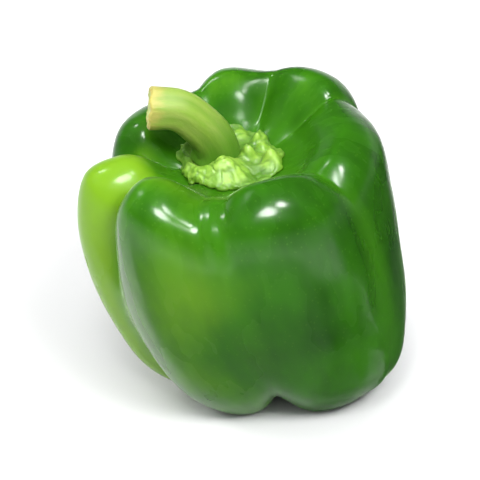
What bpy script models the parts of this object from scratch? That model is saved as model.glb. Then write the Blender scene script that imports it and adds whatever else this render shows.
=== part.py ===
"""A green bell pepper that stands on the ends of its lobes: the fruit, the calyx that caps it
and the cut stem. Metres, +Z up. The surface it stands on is Z = 0, and -Y is its front."""

import math
from collections import namedtuple

import bmesh
import bpy
import numpy as np

# Driving dimensions of the fruit
FRUIT_HEIGHT = 0.0788
FRUIT_REACH = 0.0430
LEAN_LEFT = 0.0150
LEAN_FORWARD = 0.0020
UNTWISTED_SHARE = 0.85
FOOT_FLAT_DEPTH = 0.0007
FOOT_SQUARENESS = 0.18
FRONT_ANGLE = -94.0

# Driving dimensions of the calyx, which lies round the stem's foot and reaches farther right
CALYX_PLACE = (-0.0044, 0.0020)
CALYX_RADIUS = 0.0128
CALYX_WIDER = 0.0046
SEPAL_TIPS = 6
SEPAL_TIP = 0.0011
MARGIN_THICKNESS = 0.0013
BOSS_RADIUS = 0.0077
BOSS_HEIGHT = 0.0033
SOCKET_RADIUS = 0.0070
SOCKET_DEPTH = 0.0012
SWELLING_RUN_IN = 0.0022

# Driving dimensions of the stem
STEM_RADIUS = 0.0056
STEM_FOOT_RADIUS = 0.0060
STEM_END_FLARE = 0.0003
STEM_RIBS = 6
STEM_RIB_HEIGHT = 0.0005
STEM_RIB_RUN_IN = 0.2
CUT_BEVEL = 0.0006

# Clear distance that keeps touching pieces apart, with room for their facets
FACET_GAP = 0.0005

# Facets: round each lobe, along a meridian, round the calyx, round and along the stem
LOBE_STEPS = 11
WIDEST_STEP = 5.5
MERIDIAN_STEPS = 40
CALYX_TURN_STEPS = 60
STEM_TURN_STEPS = 36
STEM_LENGTH_STEPS = 18

# A meridian runs from the seat under the calyx, over the rim and down to the blossom scar.
# Each station is a share of the reach and of the height, on a lobe's crest and in a groove,
# with the sharpness of the crease there: under 1 is a fold and over 1 a soft valley.
Station = namedtuple("Station", "crest_reach crest_height groove_reach groove_height sharpness")
MERIDIAN = (
    Station(0.00, 0.832, 0.00, 0.832, 1.00),  # seat
    Station(0.22, 0.836, 0.22, 0.834, 1.00),  # edge of the seat
    Station(0.42, 0.890, 0.41, 0.845, 0.90),  # inner wall
    Station(0.57, 0.968, 0.54, 0.864, 0.75),  # inside of the rim
    Station(0.73, 1.000, 0.66, 0.866, 0.70),  # rim
    Station(0.93, 0.925, 0.79, 0.810, 0.75),  # shoulder
    Station(1.00, 0.740, 0.90, 0.680, 0.95),  # belly
    Station(0.99, 0.530, 0.92, 0.500, 1.25),  # waist
    Station(0.92, 0.320, 0.85, 0.320, 1.30),  # haunch
    Station(0.78, 0.125, 0.69, 0.170, 1.00),  # heel
    Station(0.56, 0.008, 0.44, 0.105, 0.80),  # outside of the foot
    Station(0.35, 0.004, 0.27, 0.090, 0.80),  # inside of the foot
    Station(0.15, 0.060, 0.12, 0.080, 0.90),  # bottom hollow
    Station(0.00, 0.078, 0.00, 0.078, 1.00),  # blossom scar
)

# Grooves in order round the fruit, with their angle from +X, their depth as a share of the groove
# stations above, in the hollow, at the rim, on the side and under the foot, how soft their fold
# is, half the width of their flat floor at the rim, how far they twist down the side, and how far
# they swirl towards the stem. Angles are in degrees
Groove = namedtuple(
    "Groove", "angle inner_depth rim_depth side_depth foot_depth softness floor twist swirl"
)
GROOVES = (
    Groove(-183.0, 0.80, 0.80, 0.90, 0.90, 1.0, 0.0, 6.0, 0.0),
    Groove(-145.0, 0.90, 0.90, 1.45, 0.15, 1.0, 0.0, -4.0, 0.0),
    Groove(-96.5, 0.46, 0.46, 0.20, 0.80, 1.35, 7.0, 13.0, 0.0),
    Groove(-36.0, 0.42, 0.42, 0.22, 0.10, 1.5, 0.0, 8.0, 6.0),
    Groove(31.0, 0.50, 0.22, 0.42, 0.80, 1.0, 0.0, 8.0, 16.0),
    Groove(67.0, 0.60, 0.12, 0.15, 0.25, 1.4, 0.0, 8.0, 0.0),
    Groove(106.0, 0.45, 0.20, 0.45, 0.90, 2.2, 0.0, 8.0, 0.0),
)

# The lobe that follows each groove: its reach at the belly, its rise at the rim and the reach
# of its rim and its foot, each against a plain lobe's, and how high its foot ends
Lobe = namedtuple("Lobe", "name reach rise rim_reach foot_reach foot_rise")
LOBES = (
    Lobe("left", 1.03, 0.922, 0.93, 0.98, 0.018),
    Lobe("front left", 1.04, 0.975, 1.03, 0.87, 0.000),
    Lobe("front right", 1.05, 1.000, 1.04, 0.84, 0.000),
    Lobe("right", 0.92, 0.996, 1.05, 1.03, 0.000),
    Lobe("back right", 1.00, 1.022, 1.12, 0.94, 0.008),
    Lobe("back", 0.99, 0.988, 0.99, 0.92, 0.000),
    Lobe("back left", 0.79, 0.952, 0.79, 0.82, 0.000),
)
VALLEY_WIDTH = 15.0
VALLEY_SHARE = 0.36

# Places along a meridian, as shares of it
RIM_SHARE = 0.31
BELLY_SHARE = 0.50
WAIST_SHARE = 0.56
HEEL_SHARE = 0.70

# Swellings of the calyx: angle, distance from its middle, width and height
Swelling = namedtuple("Swelling", "angle reach width rise")
SWELLINGS = (
    Swelling(-65.0, 0.0088, 0.0040, 0.0040),  # fold in front of the stem
    Swelling(-92.0, 0.0104, 0.0024, 0.0012),
    Swelling(-117.0, 0.0098, 0.0026, 0.0020),
    Swelling(-140.0, 0.0088, 0.0020, 0.0012),
    Swelling(-7.0, 0.0100, 0.0018, 0.0042),  # ridge beside the stem
    Swelling(-12.0, 0.0158, 0.0027, 0.0046),  # curled sepal
    Swelling(12.0, 0.0142, 0.0018, 0.0022),
    Swelling(30.0, 0.0148, 0.0018, 0.0026),
    Swelling(55.0, 0.0120, 0.0022, 0.0016),
    Swelling(95.0, 0.0100, 0.0020, 0.0010),
)

# The stem's centre line, from its foot in the calyx to the cut, against the seat's middle
STEM_PATH = (
    (0.0000, 0.0000, 0.0024),
    (0.0002, 0.0000, 0.0050),
    (-0.0010, -0.0003, 0.0086),
    (-0.0047, -0.0008, 0.0133),
    (-0.0096, -0.0012, 0.0171),
    (-0.0166, -0.0015, 0.0179),
)
STEM_UPRIGHT_SHARE = 0.30

FRUIT_GREEN = (0.075, 0.235, 0.020)
CALYX_GREEN = (0.290, 0.520, 0.070)
STEM_GREEN = (0.270, 0.470, 0.075)


def spline(points, share):
    """The point at a share, from 0 to 1, of a Catmull-Rom curve through points."""
    points = np.asarray(points, float)
    spans = len(points) - 1
    index = min(int(share * spans), spans - 1)
    t = share * spans - index
    before = points[index - 1] if index else 2 * points[0] - points[1]
    after = points[index + 2] if index + 2 <= spans else 2 * points[-1] - points[-2]
    start, end = points[index], points[index + 1]
    return 0.5 * (
        2 * start
        + (end - before) * t
        + (2 * before - 5 * start + 4 * end - after) * t**2
        + (3 * start - before - 3 * end + after) * t**3
    )


def lobe_at(angle):
    """The lobe that an angle in degrees falls in, with its distance from the lobe's two grooves."""
    for index, groove in enumerate(GROOVES):
        width = (GROOVES[(index + 1) % len(GROOVES)].angle - groove.angle) % 360
        past = (angle - groove.angle) % 360
        if past < width:
            return index, past, width - past
    raise ValueError(f"no lobe holds {angle} degrees")


SHARES = np.linspace(0.0, 1.0, len(MERIDIAN))
SHARPNESS = np.array([station.sharpness for station in MERIDIAN])
NEAR_RIM = np.interp(SHARES, (RIM_SHARE, BELLY_SHARE), (1.0, 0.0))
NEAR_FOOT = np.interp(SHARES, (BELLY_SHARE, HEEL_SHARE), (0.0, 1.0))
DEPTH_SHARES = (0.22, 0.31, 0.50, 0.62, 0.80)


def crest_stations(lobe):
    """A lobe's crest meridian as (distance from the axis, height) at each station."""
    found = []
    for station, share, near_rim, near_foot in zip(MERIDIAN, SHARES, NEAR_RIM, NEAR_FOOT):
        factor = lobe.reach + near_rim * (lobe.rim_reach - lobe.reach)
        factor += near_foot * (lobe.foot_reach - lobe.reach)
        lift = lobe.rise - 1
        if share < RIM_SHARE:
            lift *= share / RIM_SHARE
        else:
            lift *= max(0.0, (WAIST_SHARE - share) / (WAIST_SHARE - RIM_SHARE))
        lift += lobe.foot_rise * near_foot * min(1.0, 2 * station.crest_reach)
        found.append(
            (
                FRUIT_REACH * station.crest_reach * factor,
                FRUIT_HEIGHT * (station.crest_height + lift),
            )
        )
    return np.array(found)


def groove_stations(index):
    """The meridian along the bottom of a groove, cut from the mean of the lobes beside it."""
    groove = GROOVES[index]
    depths = (
        groove.inner_depth,
        groove.rim_depth,
        groove.side_depth,
        groove.side_depth,
        groove.foot_depth,
    )
    beside = (crest_stations(LOBES[index - 1]) + crest_stations(LOBES[index])) / 2
    found = []
    for place, station in enumerate(MERIDIAN):
        depth = np.interp(SHARES[place], DEPTH_SHARES, depths)
        cut = (
            FRUIT_REACH * (station.groove_reach - station.crest_reach),
            FRUIT_HEIGHT * (station.groove_height - station.crest_height),
        )
        found.append(beside[place] + depth * np.array(cut))
    return np.array(found)


CREST_LINES = [crest_stations(lobe) for lobe in LOBES]
GROOVE_LINES = [groove_stations(index) for index in range(len(GROOVES))]
SEAT_HEIGHT = FRUIT_HEIGHT * MERIDIAN[0].crest_height


def swell(index, past, left):
    """How far a lobe has swelled from its grooves towards its crest, at each station."""
    following = (index + 1) % len(GROOVES)
    width = min(VALLEY_WIDTH, VALLEY_SHARE * (past + left))
    swelled = 1.0
    for groove, away in ((GROOVES[index], past), (GROOVES[following], left)):
        out = np.maximum(away - groove.floor * NEAR_RIM, 0.0) / width
        swelled = swelled * np.tanh(out) ** (SHARPNESS * groove.softness)
    return swelled


def fullest(index):
    """The most that a lobe swells anywhere across it, at each station."""
    width = (GROOVES[(index + 1) % len(GROOVES)].angle - GROOVES[index].angle) % 360
    return np.max([swell(index, width * k / 40, width - width * k / 40) for k in range(41)], axis=0)


FULLEST = [fullest(index) for index in range(len(LOBES))]


def meridian(angle):
    """The fruit's meridian at an angle in degrees, as (distance from the axis, height)."""
    index, past, left = lobe_at(angle)
    across = past / (past + left)
    valley = GROOVE_LINES[index] * (1 - across)
    valley += GROOVE_LINES[(index + 1) % len(GROOVES)] * across
    share = swell(index, past, left) / FULLEST[index]
    line = valley + share[:, None] * (CREST_LINES[index] - valley)
    corner = (1 - math.cos(4 * math.radians(angle - FRONT_ANGLE))) / 2
    line[:, 0] *= 1 + FOOT_SQUARENESS * corner * NEAR_FOOT
    return line


def across_grooves(values, angle):
    """A value at an angle, in degrees, between those that the grooves beside it have."""
    return np.interp(angle, [groove.angle for groove in GROOVES], values, period=360)


def stand(x, y, height):
    """A point of the upright fruit, moved to where its twist, swirl, lean and flat feet put it."""
    share = height / FRUIT_HEIGHT
    angle = math.degrees(math.atan2(y, x))
    twist = across_grooves([groove.twist for groove in GROOVES], angle)
    swirl = across_grooves([groove.swirl for groove in GROOVES], angle)
    inside_rim = max(0.0, 1 - math.hypot(x, y) / (FRUIT_REACH * MERIDIAN[4].crest_reach))
    in_hollow = inside_rim * min(max(2 * share - 1, 0.0), 1.0)
    turn = math.radians(twist * (UNTWISTED_SHARE - share) + swirl * in_hollow)
    x, y = x * math.cos(turn) - y * math.sin(turn), x * math.sin(turn) + y * math.cos(turn)
    x -= LEAN_LEFT * (share - 0.5)
    y -= LEAN_FORWARD * (share - 0.5)
    return (x, y, max(height - FOOT_FLAT_DEPTH, 0.0))


def fruit_angles():
    """Angles round the fruit, spaced evenly within each lobe so that a row lies in each groove."""
    angles = []
    for index, groove in enumerate(GROOVES):
        width = (GROOVES[(index + 1) % len(GROOVES)].angle - groove.angle) % 360
        steps = max(LOBE_STEPS, round(width / WIDEST_STEP))
        angles += [groove.angle + width * step / steps for step in range(steps)]
    return angles


def closed_grid(name, rings, first, last):
    """A closed mesh from rings of points, all alike in number, with a point at each end."""
    mesh = bmesh.new()
    start = mesh.verts.new(first)
    rows = [[mesh.verts.new(point) for point in ring] for ring in rings]
    end = mesh.verts.new(last)
    count = len(rows[0])
    for side in range(count):
        after = (side + 1) % count
        mesh.faces.new((start, rows[0][side], rows[0][after]))
        for upper, lower in zip(rows, rows[1:]):
            mesh.faces.new((upper[side], lower[side], lower[after], upper[after]))
        mesh.faces.new((end, rows[-1][after], rows[-1][side]))
    bmesh.ops.recalc_face_normals(mesh, faces=mesh.faces)
    data = bpy.data.meshes.new(name)
    mesh.to_mesh(data)
    mesh.free()
    data.shade_smooth()
    obj = bpy.data.objects.new(name, data)
    bpy.context.collection.objects.link(obj)
    return obj


def make_fruit():
    """The fruit: one solid body, grown as one piece."""
    lines = {angle: meridian(angle) for angle in fruit_angles()}
    rings = []
    for step in range(1, MERIDIAN_STEPS):
        ring = []
        for angle, line in lines.items():
            reach, height = spline(line, step / MERIDIAN_STEPS)
            turn = math.radians(angle)
            ring.append(stand(reach * math.cos(turn), reach * math.sin(turn), height))
        rings.append(ring)
    seat = stand(0, 0, SEAT_HEIGHT)
    scar = stand(0, 0, FRUIT_HEIGHT * MERIDIAN[-1].crest_height)
    return closed_grid("fruit", rings, seat, scar)


def hollow_height(x, y):
    """The upright fruit's height in the hollow round the stem, above a point (x, y)."""
    line = meridian(math.degrees(math.atan2(y, x)))
    reach = math.hypot(x, y)
    low, high = 0.0, 4 / (len(MERIDIAN) - 1)
    for _ in range(30):
        middle = (low + high) / 2
        if spline(line, middle)[0] < reach:
            low = middle
        else:
            high = middle
    return spline(line, low)[1]


def calyx_edge(turn):
    """The calyx's radius: blunt sepal tips on a crinkled margin, wider to the right."""
    tips = SEPAL_TIP * abs(math.cos(SEPAL_TIPS * turn / 2 + 0.5)) ** 0.7
    crinkle = 0.00035 * math.sin(17 * turn + 0.6) + 0.00030 * math.sin(11 * turn)
    return CALYX_RADIUS + tips + crinkle + CALYX_WIDER * math.cos(turn)


def calyx_thickness(turn, reach):
    """The calyx's thickness at an angle and a distance from its middle."""
    slope = (reach - BOSS_RADIUS) / (calyx_edge(turn) - BOSS_RADIUS)
    slope = min(max(slope, 0.0), 1.0)
    thickness = MARGIN_THICKNESS + (BOSS_HEIGHT - MARGIN_THICKNESS) * (1 - slope) ** 1.5
    clear = min(max((reach - SOCKET_RADIUS) / SWELLING_RUN_IN, 0.0), 1.0)
    x, y = reach * math.cos(turn), reach * math.sin(turn)
    for swelling in SWELLINGS:
        at = math.radians(swelling.angle)
        away = math.hypot(x - swelling.reach * math.cos(at), y - swelling.reach * math.sin(at))
        thickness += clear * swelling.rise * math.exp(-((away / swelling.width) ** 2))
    veins = 0.0003 * math.sin(13 * turn + 1.3) * math.sin(math.pi * slope)
    return thickness + veins


def make_calyx():
    """The calyx: the cap of joined sepals that lies on the fruit and holds the stem's foot."""
    turns = [2 * math.pi * step / CALYX_TURN_STEPS for step in range(CALYX_TURN_STEPS)]
    floor = SEAT_HEIGHT + BOSS_HEIGHT - SOCKET_DEPTH

    def place(turn, reach, height):
        x = CALYX_PLACE[0] + reach * math.cos(turn)
        y = CALYX_PLACE[1] + reach * math.sin(turn)
        return stand(x, y, hollow_height(x, y) + height)

    def flat(turn, reach, height):
        x = CALYX_PLACE[0] + reach * math.cos(turn)
        y = CALYX_PLACE[1] + reach * math.sin(turn)
        return stand(x, y, height)

    rings = [[flat(turn, share * SOCKET_RADIUS, floor) for turn in turns] for share in (0.5, 1.0)]
    for share in (0.02, 0.12, 0.24, 0.36, 0.48, 0.60, 0.72, 0.83, 0.92, 0.975):
        ring = []
        for turn in turns:
            reach = SOCKET_RADIUS + share * (calyx_edge(turn) - SOCKET_RADIUS)
            ring.append(place(turn, reach, calyx_thickness(turn, reach)))
        rings.append(ring)
    rings.append([place(turn, calyx_edge(turn), 0.7 * MARGIN_THICKNESS) for turn in turns])
    for share in (0.96, 0.80, 0.60, 0.35):
        rings.append([place(turn, share * calyx_edge(turn), FACET_GAP) for turn in turns])
    return closed_grid("calyx", rings, flat(0, 0, floor), place(0, 0, FACET_GAP))


def stem_ring(middle, side, up, radius, rib_height):
    """One ribbed ring of points round the stem."""
    ring = []
    for step in range(STEM_TURN_STEPS):
        turn = 2 * math.pi * step / STEM_TURN_STEPS
        reach = radius + rib_height * math.cos(STEM_RIBS * turn)
        ring.append(middle + reach * (math.cos(turn) * side + math.sin(turn) * up))
    return ring


def make_stem():
    """The stem: ribbed, swollen at its foot and at its cut end, and bent to the left."""
    seat = np.array(stand(*CALYX_PLACE, SEAT_HEIGHT))
    rings = []
    for step in range(STEM_LENGTH_STEPS + 1):
        share = step / STEM_LENGTH_STEPS
        middle = seat + spline(STEM_PATH, share)
        ahead = spline(STEM_PATH, min(share + 0.01, 1.0)) - spline(STEM_PATH, max(share - 0.01, 0.0))
        ahead /= np.linalg.norm(ahead)
        lift = max(0.0, 1 - share / STEM_UPRIGHT_SHARE)
        ahead = ahead * (1 - lift) + np.array((0.0, 0.0, 1.0)) * lift
        ahead /= np.linalg.norm(ahead)
        side = np.cross(ahead, (0.0, 1.0, 0.0))
        side /= np.linalg.norm(side)
        up = np.cross(ahead, side)
        radius = STEM_RADIUS + (STEM_FOOT_RADIUS - STEM_RADIUS) * (1 - share) ** 4
        radius += STEM_END_FLARE * share**6
        rib_height = STEM_RIB_HEIGHT * min(1.0, share / STEM_RIB_RUN_IN)
        rings.append(stem_ring(middle, side, up, radius, rib_height))
    end = middle + CUT_BEVEL * ahead
    rings.append(stem_ring(end, side, up, radius - CUT_BEVEL, 0.0))
    return closed_grid("stem", rings, seat + np.array(STEM_PATH[0]), end)


def paint(obj, name, colour, roughness):
    """Gives an object its own plain material."""
    material = bpy.data.materials.new(name)
    material.use_nodes = True
    shader = material.node_tree.nodes["Principled BSDF"]
    shader.inputs["Base Color"].default_value = (*colour, 1.0)
    shader.inputs["Roughness"].default_value = roughness
    shader.inputs["Metallic"].default_value = 0.0
    obj.data.materials.append(material)


def centre(objects):
    """Moves the pieces together so that the middle of their outline stands over the origin."""
    corners = np.array([vert.co for obj in objects for vert in obj.data.vertices])
    middle = (corners.min(axis=0) + corners.max(axis=0)) / 2
    for obj in objects:
        obj.location = (-middle[0], -middle[1], 0.0)


def main():
    for obj in list(bpy.data.objects):
        bpy.data.objects.remove(obj)
    fruit, calyx, stem = make_fruit(), make_calyx(), make_stem()
    paint(fruit, "fruit skin", FRUIT_GREEN, 0.25)
    paint(calyx, "calyx", CALYX_GREEN, 0.55)
    paint(stem, "stem", STEM_GREEN, 0.5)
    centre((fruit, calyx, stem))


main()
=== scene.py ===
# %% [markdown]
# A green bell pepper
# The fruit stands on the ends of its lobes, with a crinkled calyx in the hollow at its top and a
# cut stem that bends to the left. It grew as one piece, so the whole look rests on three things:
# a lobed form that is right from every side, a thin wax over a slightly translucent skin, and the
# change of green from the deep sides to the pale folds. The cells below take them in that order.

import math
from collections import namedtuple

import bpy
import numpy as np
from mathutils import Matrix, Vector


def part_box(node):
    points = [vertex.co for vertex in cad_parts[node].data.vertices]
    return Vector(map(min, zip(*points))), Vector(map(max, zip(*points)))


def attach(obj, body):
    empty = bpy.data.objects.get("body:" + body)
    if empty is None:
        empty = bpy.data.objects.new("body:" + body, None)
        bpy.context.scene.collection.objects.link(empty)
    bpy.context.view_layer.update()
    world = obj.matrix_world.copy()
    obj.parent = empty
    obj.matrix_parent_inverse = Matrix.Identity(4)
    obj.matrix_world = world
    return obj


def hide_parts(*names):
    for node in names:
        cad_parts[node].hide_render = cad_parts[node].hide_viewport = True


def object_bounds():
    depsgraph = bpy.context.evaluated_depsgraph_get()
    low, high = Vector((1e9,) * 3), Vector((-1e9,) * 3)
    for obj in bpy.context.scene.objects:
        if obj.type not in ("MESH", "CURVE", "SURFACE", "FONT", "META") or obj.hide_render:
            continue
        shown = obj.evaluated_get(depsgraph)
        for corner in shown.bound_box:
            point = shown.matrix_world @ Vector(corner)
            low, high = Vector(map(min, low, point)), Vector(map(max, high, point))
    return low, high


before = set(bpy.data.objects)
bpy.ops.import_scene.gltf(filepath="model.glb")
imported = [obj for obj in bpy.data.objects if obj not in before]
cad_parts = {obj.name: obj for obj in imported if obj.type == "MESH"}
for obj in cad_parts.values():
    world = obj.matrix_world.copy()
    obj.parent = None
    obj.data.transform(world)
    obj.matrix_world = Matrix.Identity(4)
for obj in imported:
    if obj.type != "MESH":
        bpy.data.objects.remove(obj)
cad_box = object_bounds()
cad_size = [round(side * 1000, 1) for side in cad_box[1] - cad_box[0]]
print(len(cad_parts), "solids in a box of", cad_size, "mm")

# %% [markdown]
# The camera
# The picture was taken from about 32 degrees above the table, a metre away. A long lens keeps the
# far lobes nearly as large as the near ones, which is what makes a small thing look calm. The aim
# is the middle of the pepper, and the lens is worked out from the width of the window around it.

# %% Set the camera
CAMERA_ELEVATION = math.radians(32)
CAMERA_DISTANCE = 1.0
CAMERA_AIM = Vector((-0.0010, 0.0, 0.0430))
WINDOW_WIDTH = 0.127
SENSOR_WIDTH = 36.0

camera = bpy.data.objects.new("camera", bpy.data.cameras.new("camera"))
bpy.context.scene.collection.objects.link(camera)
bpy.context.scene.camera = camera
towards_camera = Vector((0.0, -math.cos(CAMERA_ELEVATION), math.sin(CAMERA_ELEVATION)))
camera.location = CAMERA_AIM + towards_camera * CAMERA_DISTANCE
camera.rotation_mode = "QUATERNION"
camera.rotation_quaternion = (-towards_camera).to_track_quat("-Z", "Y")
camera.data.sensor_width = SENSOR_WIDTH
camera.data.lens = SENSOR_WIDTH * CAMERA_DISTANCE / WINDOW_WIDTH
camera.data.clip_start = 0.05
camera.data.clip_end = 50.0
print("lens", round(camera.data.lens), "mm")

# %% [markdown]
# Tools for node trees and materials
# Materials, Geometry Nodes and the world are all node trees. Short helpers keep the cells below
# readable: they add a node, do arithmetic, mix two values, or fade one into a range. A value may
# be a plain number or the output of another node, and the helpers take either. A few more start a
# material, read a value that is stored on a mesh, and put a new object into the scene.


# %% Make the helpers for nodes
def connect(tree, value, socket):
    """Feeds a socket from another node's output, or sets it to a plain value."""
    if isinstance(value, bpy.types.NodeSocket):
        tree.links.new(value, socket)
    else:
        socket.default_value = value


def feed(tree, node, inputs):
    """Feeds several of a node's sockets."""
    for name, value in inputs.items():
        connect(tree, value, node.inputs[name])


def add(tree, kind, inputs=None, **settings):
    """A new node with its settings and inputs."""
    node = tree.nodes.new(kind)
    for name, value in settings.items():
        setattr(node, name, value)
    feed(tree, node, inputs or {})
    return node


def number(tree, operation, *values):
    """Arithmetic on numbers."""
    node = add(tree, "ShaderNodeMath", operation=operation)
    for place, value in enumerate(values):
        connect(tree, value, node.inputs[place])
    return node.outputs[0]


def product(tree, *values):
    """Several numbers multiplied together."""
    result = values[0]
    for value in values[1:]:
        result = number(tree, "MULTIPLY", result, value)
    return result


def vector(tree, operation, *values):
    """Arithmetic on vectors. Some operations give a number."""
    node = add(tree, "ShaderNodeVectorMath", operation=operation)
    for place, value in enumerate(values):
        connect(tree, value, node.inputs["Scale" if operation == "SCALE" and place else place])
    gives_number = operation in ("DOT_PRODUCT", "LENGTH", "DISTANCE")
    return node.outputs["Value" if gives_number else "Vector"]


def fade(tree, value, low, high, start=0.0, end=1.0, smooth=True):
    """A value taken from the range low to high into the range start to end, and held there."""
    kind = "SMOOTHSTEP" if smooth else "LINEAR"
    inputs = {"Value": value, "From Min": low, "From Max": high, "To Min": start, "To Max": end}
    return add(tree, "ShaderNodeMapRange", inputs, interpolation_type=kind).outputs["Result"]


def mix(tree, share, first, second, kind="RGBA"):
    """A share of the way from the first colour, number or vector to the second."""
    node = add(tree, "ShaderNodeMix", data_type=kind)
    factor, a, b = (socket for socket in node.inputs if socket.enabled)
    for value, socket in ((share, factor), (first, a), (second, b)):
        connect(tree, value, socket)
    return next(socket for socket in node.outputs if socket.enabled)


def noise(tree, place, scale, detail=2.0, roughness=0.5, seed=None):
    """Soft noise at a place, from 0 to 1 and mostly near the middle."""
    inputs = {"Vector": place, "Scale": scale, "Detail": detail, "Roughness": roughness}
    if seed is None:
        return add(tree, "ShaderNodeTexNoise", inputs).outputs[0]
    inputs["W"] = seed
    return add(tree, "ShaderNodeTexNoise", inputs, noise_dimensions="4D").outputs[0]


def centred_noise(tree, place, seed, scale, detail=1.0, roughness=0.5):
    """Soft noise at a place, from -1 to 1 and mostly near zero."""
    value = noise(tree, place, scale, detail, roughness, seed)
    return number(tree, "MULTIPLY_ADD", value, 2.0, -1.0)


def group(name, kind, inputs, outputs):
    """A new node group with its sockets, and its input and output nodes."""
    tree = bpy.data.node_groups.new(name, kind)
    for way, sockets in (("INPUT", inputs), ("OUTPUT", outputs)):
        for label, (socket_type, default) in sockets.items():
            socket = tree.interface.new_socket(label, in_out=way, socket_type=socket_type)
            if default is not None:
                socket.default_value = default
    return tree, tree.nodes.new("NodeGroupInput").outputs, tree.nodes.new("NodeGroupOutput").inputs


NUMBER, PLACE = "NodeSocketFloat", "NodeSocketVector"
SHAPE, FINISH = "NodeSocketGeometry", "NodeSocketMaterial"
print("helpers for nodes ready")


# %% Make the helpers for materials
def new_finish(name):
    """A new material, its tree and its shader."""
    material = bpy.data.materials.new(name)
    material.use_nodes = True
    return material, material.node_tree, material.node_tree.nodes["Principled BSDF"]


def attribute(tree, name, part="Fac"):
    """A value stored on the mesh."""
    return add(tree, "ShaderNodeAttribute", attribute_name=name).outputs[part]


def place_in_scene(name, data):
    """A new object that holds a mesh or a lamp."""
    obj = bpy.data.objects.new(name, data)
    bpy.context.scene.collection.objects.link(obj)
    return obj


print("helpers for materials ready")

# %% [markdown]
# The table and the light
# The pepper stands on a white table in a white room, so most of what its wax mirrors is white. The
# room is brightest low down, behind and to the left, and dim overhead, which gives the fruit its
# shape. Far away the table glows as white as the room, so that no horizon shows. Some lamps only
# light the fruit and others, like windows, are only mirrored in its wax, so that shade and
# highlights are set apart from each other. Two soft dark screens that no camera sees calm the
# reflections low in front and on the right. All of it is plain: sheets, area lights, and a world
# with a gradient by direction.

# %% Lay the table
FLOOR_SIZE = 14.0
WHITE = (1.0, 1.0, 1.0, 1.0)
FLOOR_WHITE = (0.60, 0.603, 0.608, 1.0)
HORIZON_WHITE = 0.85
GLOW_STARTS = 0.45
GLOW_ENDS = 1.8

floor_mesh = bpy.data.meshes.new("table")
half = FLOOR_SIZE / 2
floor_corners = [(-half, -half, 0), (half, -half, 0), (half, half, 0), (-half, half, 0)]
floor_mesh.from_pydata(floor_corners, [], [(0, 1, 2, 3)])
floor = place_in_scene("table", floor_mesh)
floor_finish, tree, floor_shader = new_finish("white table")
matt = {"Base Color": FLOOR_WHITE, "Roughness": 0.55, "Specular IOR Level": 0.25}
feed(tree, floor_shader, matt)
far_glow = add(tree, "ShaderNodeEmission", {"Color": WHITE, "Strength": HORIZON_WHITE})
off_middle = vector(tree, "LENGTH", add(tree, "ShaderNodeTexCoord").outputs["Object"])
sweep = add(tree, "ShaderNodeMixShader", {"Fac": fade(tree, off_middle, GLOW_STARTS, GLOW_ENDS)})
tree.links.new(floor_shader.outputs[0], sweep.inputs[1])
tree.links.new(far_glow.outputs[0], sweep.inputs[2])
tree.links.new(sweep.outputs[0], tree.nodes["Material Output"].inputs["Surface"])
floor_mesh.materials.append(floor_finish)
print("table laid")

# %% Stand the dark screens
# The apron is the part that lies on the table. The strength is how dark the middle gets, and the
# last number is the share of the way up from which the screen thins out.
Screen = namedtuple("Screen", "name middle faces width height apron strength fades_from")
SCREENS = (
    Screen("right screen", (0.125, 0.020), (-0.80, -0.60), 0.25, 0.11, 0.115, 1.0, 0.70),
    Screen("front screen", (0.030, -0.300), (-0.10, 1.00), 0.34, 0.03, 0.285, 0.80, 0.12),
)
SCREEN_GREEN = (0.008, 0.030, 0.006, 1.0)
SCREEN_STEPS = 12
APRON_SHARE = 0.5
FULL_COVER = 0.28
NEAR_EDGE = 0.03
LIFT_OFF_TABLE = 0.0012


def soft_cover(tree, screen):
    """How much of a screen is there: most in the middle, and none at its edges."""
    up_here = attribute(tree, "up")
    from_middle = number(tree, "ABSOLUTE", number(tree, "SUBTRACT", attribute(tree, "across"), 0.5))
    ends = fade(tree, from_middle, 0.5, FULL_COVER, 0.0, screen.strength)
    top_edge = fade(tree, up_here, 1.0, screen.fades_from)
    near_edge = fade(tree, up_here, 0.0, NEAR_EDGE)
    return product(tree, ends, top_edge, near_edge)


def stand_screen(screen):
    """A sheet that lies on the table towards the pepper and stands up at its far edge."""
    faces = Vector((*screen.faces, 0.0)).normalized()
    sideways = Vector((-faces.y, faces.x, 0.0))
    points, across, up = [], [], []
    for row in range(SCREEN_STEPS + 1):
        share = row / SCREEN_STEPS
        flat = max(0.0, 1 - share / APRON_SHARE) * screen.apron
        tall = max(0.0, share - APRON_SHARE) / (1 - APRON_SHARE) * screen.height
        for column in range(SCREEN_STEPS + 1):
            along = column / SCREEN_STEPS
            place = Vector((*screen.middle, LIFT_OFF_TABLE + tall)) + faces * flat
            points.append(place + sideways * screen.width * (along - 0.5))
            across.append(along)
            up.append(share)
    wide = SCREEN_STEPS + 1
    corners = [row * wide + k for row in range(SCREEN_STEPS) for k in range(SCREEN_STEPS)]
    mesh = bpy.data.meshes.new(screen.name)
    quads = [(k, k + 1, k + 1 + wide, k + wide) for k in corners]
    mesh.from_pydata([tuple(point) for point in points], [], quads)
    for name, values in (("across", across), ("up", up)):
        mesh.attributes.new(name, "FLOAT", "POINT").data.foreach_set("value", values)
    obj = place_in_scene(screen.name, mesh)
    obj.visible_camera = obj.visible_shadow = obj.visible_diffuse = False
    finish, tree, shader = new_finish(screen.name)
    cover = soft_cover(tree, screen)
    feed(tree, shader, {"Base Color": SCREEN_GREEN, "Roughness": 0.9, "Alpha": cover})
    mesh.materials.append(finish)


for screen in SCREENS:
    stand_screen(screen)
print(len(SCREENS), "screens stood")

# %% Light the room
BRIGHT_SIDE = Vector((-0.85, 0.53, 0.0)).normalized()
BRIGHTENS_FROM = -0.2
UPPER_GREY = 0.05
BAND_HEIGHT = 0.30
BRIGHT_BAND_HEIGHT = 0.38

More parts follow.
